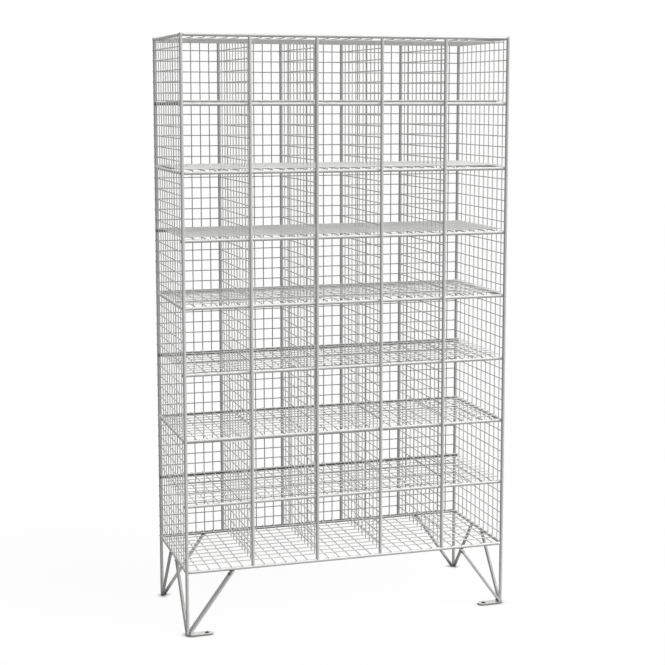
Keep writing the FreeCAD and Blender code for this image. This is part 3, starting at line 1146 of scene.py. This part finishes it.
@dataclass
class Legs:
    """Braces and folded foot straps of the legs.

    Args:
        layout: Axes of the frame.
        brace_sides: Facets round a brace.
        brace_rings: Rings along a brace.
        bead_sides: Facets round a weld.
        bead_rings: Rings from one face of a weld to the other.
        foot_gap: Axis of a post to the middle of the weld at its foot.
        foot_rise: Height of that weld above the floor, on a strap.
        foot_bead: Half width of that weld, on a strap.
        head_bead: Half width of the weld under a rail.
        head_drop: How far a strap's upper weld runs down from the rail.
        cap_bead: Half width and half thickness of the weld on a strap's top, in head beads.
        strap_mark: How dark a strap's welds show, from 0 to 1: scorched metal, and painted shade of the
            pockets at the strap's ends.
        brace_rise: Height of the weld at a brace's foot above the floor.
        brace_bead: Half width of that weld.
        brace_marks: How dark the welds at a brace's foot and head show, from 0 to 1: scorched metal, and
            painted shade of the pockets there.
        hole_reach: Axis of a post to the middle of the bolt hole.
        hole_radius: Radius of the bolt hole.
        burr: Half thickness of the painted shade ring in the bolt hole.
        burr_depth: How deep in the metal the middle of the ring is.
        burr_height: Half height of the ring.
        burr_lift: Clear height under the ring.
    """

    layout: Layout
    brace_sides: int = 24
    brace_rings: int = 6
    bead_sides: int = 12
    bead_rings: int = 7
    foot_gap: float = 6.5 * MM
    foot_rise: float = 7.0 * MM
    foot_bead: float = 4.2 * MM
    head_bead: float = 4.6 * MM
    head_drop: float = 9.0 * MM
    cap_bead: tuple[float, float] = (1.4, 1 / 3)
    strap_mark: float = 0.9
    brace_rise: float = 4.0 * MM
    brace_bead: float = 3.6 * MM
    brace_marks: tuple[float, float] = (0.5, 0.45)
    hole_reach: float = 45.0 * MM
    hole_radius: float = 5.0 * MM
    burr: float = 0.9 * MM
    burr_depth: float = 0.2 * MM
    burr_height: float = 2.2 * MM
    burr_lift: float = 0.1 * MM

    def braces(self) -> list[Brace]:
        """Lay out the braces.

        Returns:
            All six, with their posts and headings.
        """
        layout = self.layout
        found = []
        for side in Side:
            x = middle(f"post_front_{side.word}", Axis.X)
            rear = np.array([x, layout.rear])
            found += [
                Brace(f"side_brace_front_{side.word}", np.array([x, layout.front]), np.array([0.0, 1.0])),
                Brace(f"side_brace_rear_{side.word}", rear, np.array([0.0, -1.0])),
                Brace(f"rear_brace_{side.word}", rear, np.array([-float(side.value), 0.0])),
            ]
        return found

    def hand_welds(self) -> Surface:
        """Beads where braces and straps meet the posts and the rails, as scorched weld metal dark enough
        to paint the shade of the pockets there too, and painted shade rings in the bolt holes.

        Returns:
            The beads and the painted shade rings as one surface.
        """
        layout = self.layout
        beads, shade_rings = [], []
        head_height = self.head_bead / 2
        foot_scorch_and_shade, head_scorch_and_shade = self.brace_marks
        # The welds at the legs are dark enough to paint the shade of the pockets where they sit
        for brace in self.braces():
            along, across = (Axis.Y, Axis.X) if brace.heading[1] else (Axis.X, Axis.Y)
            low, high = (np.array(corner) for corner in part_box(brace.node))
            end = (high if brace.heading.sum() > 0 else low)[along.value]
            foot = np.array([*(brace.post + self.foot_gap * brace.heading), self.brace_rise])
            head = np.array([*brace.post, high[2] - head_height])
            head[along.value] = end - layout.rod * brace.heading[along.value]
            beads += [
                (foot, across, self.brace_bead, self.brace_bead, foot_scorch_and_shade),
                (head, Axis.Z, self.head_bead, head_height, head_scorch_and_shade),
            ]
        cap_reach, cap_height = (share * self.head_bead for share in self.cap_bead)
        shade_ring_rise = self.burr_height + self.burr_lift
        for side in Side:
            low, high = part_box(f"foot_strap_{side.word}")
            post = middle(f"post_front_{side.word}", Axis.X)
            far = high[0] if side is Side.LEFT else low[0]
            half_width = (high[1] - low[1]) / 2
            foot = np.array([post - side.value * self.foot_gap, layout.front, self.foot_rise])
            head = np.array([far + side.value * self.head_drop, layout.front, high[2] - self.head_drop])
            top = np.array([far + side.value * self.head_bead, layout.front, high[2]])
            hole = np.array([post - side.value * self.hole_reach, layout.front, shade_ring_rise])
            beads += [
                (foot, Axis.Y, self.foot_bead, half_width, self.strap_mark),
                (head, Axis.Y, self.head_bead, half_width, self.strap_mark),
                (top, Axis.Z, cap_reach, cap_height, self.strap_mark),
            ]
            # A dark ring in each bolt hole paints the shade inside it
            shade_rings.append(HoleBurr(hole, self.hole_radius + self.burr_depth, self.burr, self.burr_height))
        welds = [
            WeldSpots(place[None], *bead, self.bead_sides, self.bead_rings) for place, *bead in beads
        ]
        return Surface.joined([shape.surface() for shape in (*welds, *shade_rings)])

    def build(self) -> dict[str, Surface]:
        """Draw the braces and the hand welds.

        Returns:
            Surfaces by node.
        """
        surfaces = {
            brace.node: brace.surface(self.layout.rod, self.brace_sides, self.brace_rings)
            for brace in self.braces()
        }
        surfaces["hand_welds"] = self.hand_welds()
        return surfaces

    def dress(self, surfaces: Mapping[str, Surface], finishes: Finishes) -> None:
        """Put the braces into the scene and give the straps their finish.

        Args:
            surfaces: Surfaces by node.
            finishes: Materials by coat.
        """
        for node, surface in surfaces.items():
            # Painted shade on the braces, deep on those behind the front posts
            coat = Coat.SHADED_RODS if "brace_front" in node else Coat.REAR_RODS
            add_piece(node, surface, finishes[coat])
        for side in Side:
            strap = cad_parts[f"foot_strap_{side.word}"]
            strap.data.materials.clear()
            strap.data.materials.append(finishes[Coat.STRIPS])


# Studio


@dataclass
class Studio:
    """Floor, light and camera.

    Args:
        floor_size: Width of the floor.
        sun_height: Height of the key light above the horizon, in degrees.
        sun_turn: Turn of the key light from the front towards the right, in degrees.
        sun_width: Width of the key light in the sky, in degrees.
        sun_strength: Light that the key gives square on.
        soft_strength: The same for the part of the key that is too broad for thin wires to shade.
        back_height: Height of the lamp behind the locker, in degrees.
        back_turn: Its turn from the front towards the right, in degrees.
        back_strength: Light that it gives square on.
        fill: Light from all round.
        backdrop: The same for the camera and for mirrored rays.
        eye: Where the camera stands.
        yaw: Turn of the camera from straight ahead towards the right, in degrees.
        pitch: Tilt of the camera below the horizon, in degrees.
        focal: Focal length, in widths of the picture.
        shift: Upward shift of the picture, in widths of the picture.
    """

    floor_size: float = 60.0
    sun_height: float = 50.0
    sun_turn: float = 48.0
    sun_width: float = 40.0
    sun_strength: float = 1.15
    soft_strength: float = 1.9
    back_height: float = 12.0
    back_turn: float = 170.0
    back_strength: float = 0.9
    fill: float = 0.16
    backdrop: float = 1.0
    eye: tuple[float, float, float] = (-1.072, -3.431, 1.225)
    yaw: float = 17.45
    pitch: float = 7.08
    focal: float = 1504 / 665
    shift: float = -0.07

    def floor(self) -> None:
        """Lay the floor as one flat square."""
        half = self.floor_size / 2
        corners = [(-half, -half, 0.0), (half, -half, 0.0), (half, half, 0.0), (-half, half, 0.0)]
        mesh = bpy.data.meshes.new("studio_floor")
        mesh.from_pydata(corners, [], [range(len(corners))])
        mesh.materials.append(StudioWhite().make())
        floor = bpy.data.objects.new("studio_floor", mesh)
        bpy.context.scene.collection.objects.link(floor)

    def world(self) -> None:
        """White all round for the camera and for mirrored rays, and a soft fill for the rest."""
        world = bpy.data.worlds.new("studio")
        world.use_nodes = True
        tree = world.node_tree
        tree.nodes.clear()
        fill, backdrop = (
            add_node(
                tree, "ShaderNodeBackground",
                values={"Color": linear("#FFFFFF"), "Strength": strength},
            )["Background"]
            for strength in (self.fill, self.backdrop)
        )
        links = {0: direct_rays(tree), 1: fill, 2: backdrop}
        shader = add_node(tree, "ShaderNodeMixShader", links=links)["Shader"]
        add_node(tree, "ShaderNodeOutputWorld", links={"Surface": shader})
        bpy.context.scene.world = world

    def lamp(self, name: str, strength: float, place: tuple[float, float], casts: bool) -> None:
        """Hang a broad, far lamp.

        Args:
            name: The lamp's name.
            strength: Light that it gives square on.
            place: Its height, and its turn from the front towards the right, in degrees.
            casts: Whether it casts shadows.
        """
        lamp = bpy.data.lights.new(name, "SUN")
        lamp.energy = strength
        lamp.angle = radians(self.sun_width)
        lamp.use_shadow = casts
        hung = bpy.data.objects.new(name, lamp)
        height, turn = (radians(angle) for angle in place)
        towards = Vector((cos(height) * sin(turn), -cos(height) * cos(turn), sin(height)))
        hung.rotation_euler = towards.to_track_quat("Z", "Y").to_euler()
        bpy.context.scene.collection.objects.link(hung)

    def camera(self) -> None:
        """A camera at the height and turn that the picture was taken from."""
        data = bpy.data.cameras.new("camera")
        data.lens = self.focal * data.sensor_width
        data.shift_y = self.shift
        camera = bpy.data.objects.new("camera", data)
        camera.location = self.eye
        camera.rotation_euler = Euler((pi / 2 - radians(self.pitch), 0.0, -radians(self.yaw)))
        bpy.context.scene.collection.objects.link(camera)
        bpy.context.scene.camera = camera

    def build(self) -> None:
        """Set up floor, world, lamps and camera."""
        self.floor()
        self.world()
        key = self.sun_height, self.sun_turn
        self.lamp("key", self.sun_strength, key, casts=True)
        self.lamp("soft_key", self.soft_strength, key, casts=False)
        self.lamp("back_lamp", self.back_strength, (self.back_height, self.back_turn), casts=False)
        self.camera()
        bpy.context.scene.view_settings.view_transform = "Standard"


def main() -> None:
    """Build the locker, dress it and set up the studio."""
    logging.basicConfig(level=logging.INFO, format="%(message)s")
    layout = Layout.read()
    finishes = {coat: coat.value.make() for coat in Coat}
    for assembly in (RodFrame(layout), MeshPanels(layout), Legs(layout)):
        assembly.dress(assembly.build(), finishes)
    Studio().build()


if __name__ == "__main__":
    main()
